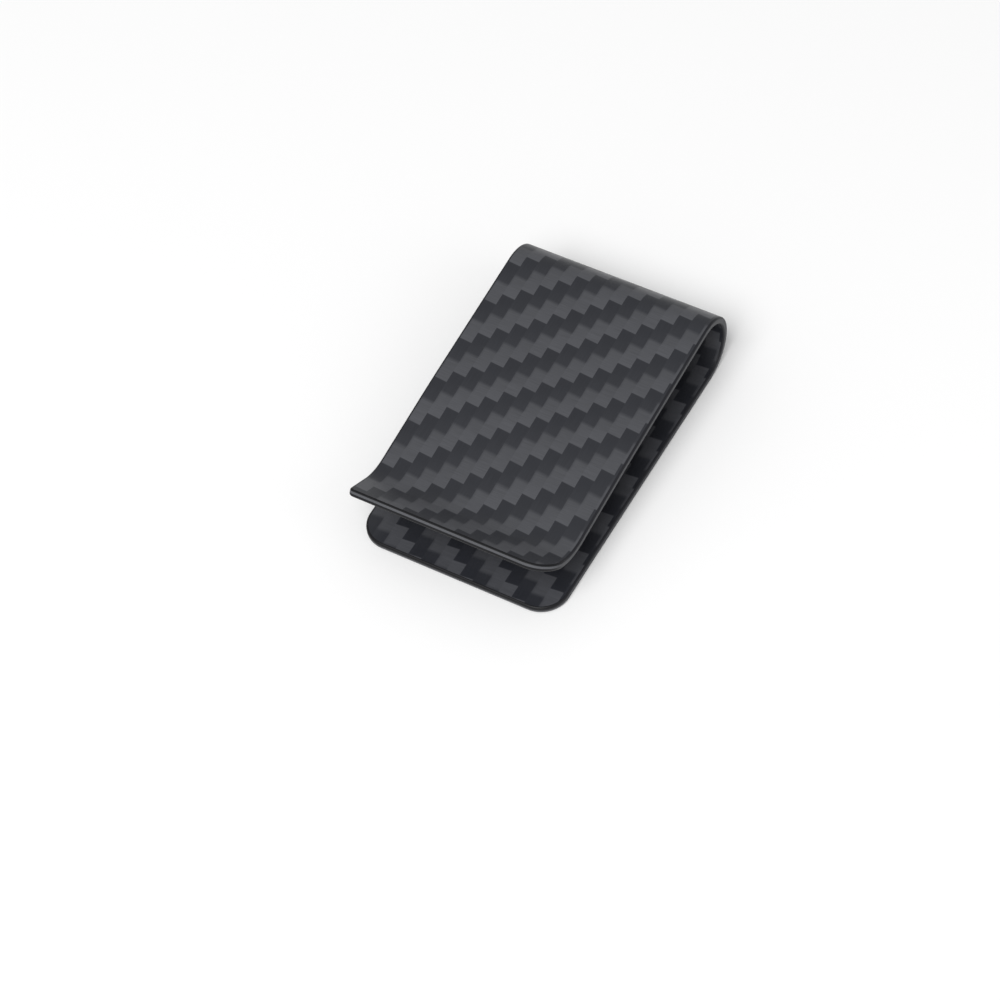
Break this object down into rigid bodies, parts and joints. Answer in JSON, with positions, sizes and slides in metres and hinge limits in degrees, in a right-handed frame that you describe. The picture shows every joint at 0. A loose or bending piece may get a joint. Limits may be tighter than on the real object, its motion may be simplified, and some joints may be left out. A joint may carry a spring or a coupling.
{
  "type": "carbon fibre money clip",
  "caption": "Moulded carbon-fibre laminate money clip: a flat back leaf, a rounded spring bend and a front leaf with a flared lip that grips folded notes and cards.",
  "frame": {"origin": "under the middle of the clip, on the plane of the back leaf's outer face", "axes": "+X from the closed bend to the open jaw, +Y across the width, +Z from the back leaf to the front leaf"},
  "size_m": [0.062, 0.038, 0.0138],
  "materials": {
    "carbon_twill": "satin clear-coated carbon fibre, 2x2 twill weave",
    "carbon_core": "sanded cut edge of unidirectional carbon plies"
  },
  "bodies": {
    "back_leaf": {"back_outer_twill_ply": "carbon_twill", "back_uni_ply_1": "carbon_core", "back_uni_ply_2": "carbon_core", "back_uni_ply_3": "carbon_core", "back_uni_ply_4": "carbon_core", "back_inner_twill_ply": "carbon_twill", "bend_outer_twill_ply": "carbon_twill", "bend_uni_ply_1": "carbon_core", "bend_uni_ply_2": "carbon_core", "bend_uni_ply_3": "carbon_core", "bend_uni_ply_4": "carbon_core", "bend_inner_twill_ply": "carbon_twill"},
    "front_leaf": {"front_outer_twill_ply": "carbon_twill", "front_uni_ply_1": "carbon_core", "front_uni_ply_2": "carbon_core", "front_uni_ply_3": "carbon_core", "front_uni_ply_4": "carbon_core", "front_inner_twill_ply": "carbon_twill"}
  },
  "joints": [
    {"name": "jaw_flex", "type": "hinge", "parent": "back_leaf", "child": "front_leaf", "pos_m": [-0.02808, 0, 0.0069], "axis": [0, -1, 0], "range_deg": [-7.3, 5], "stiffness_Nm_per_rad": 2.5, "springref_deg": -7.3, "deforming": ["bend_outer_twill_ply", "bend_uni_ply_1", "bend_uni_ply_2", "bend_uni_ply_3", "bend_uni_ply_4", "bend_inner_twill_ply"]}
  ]
}
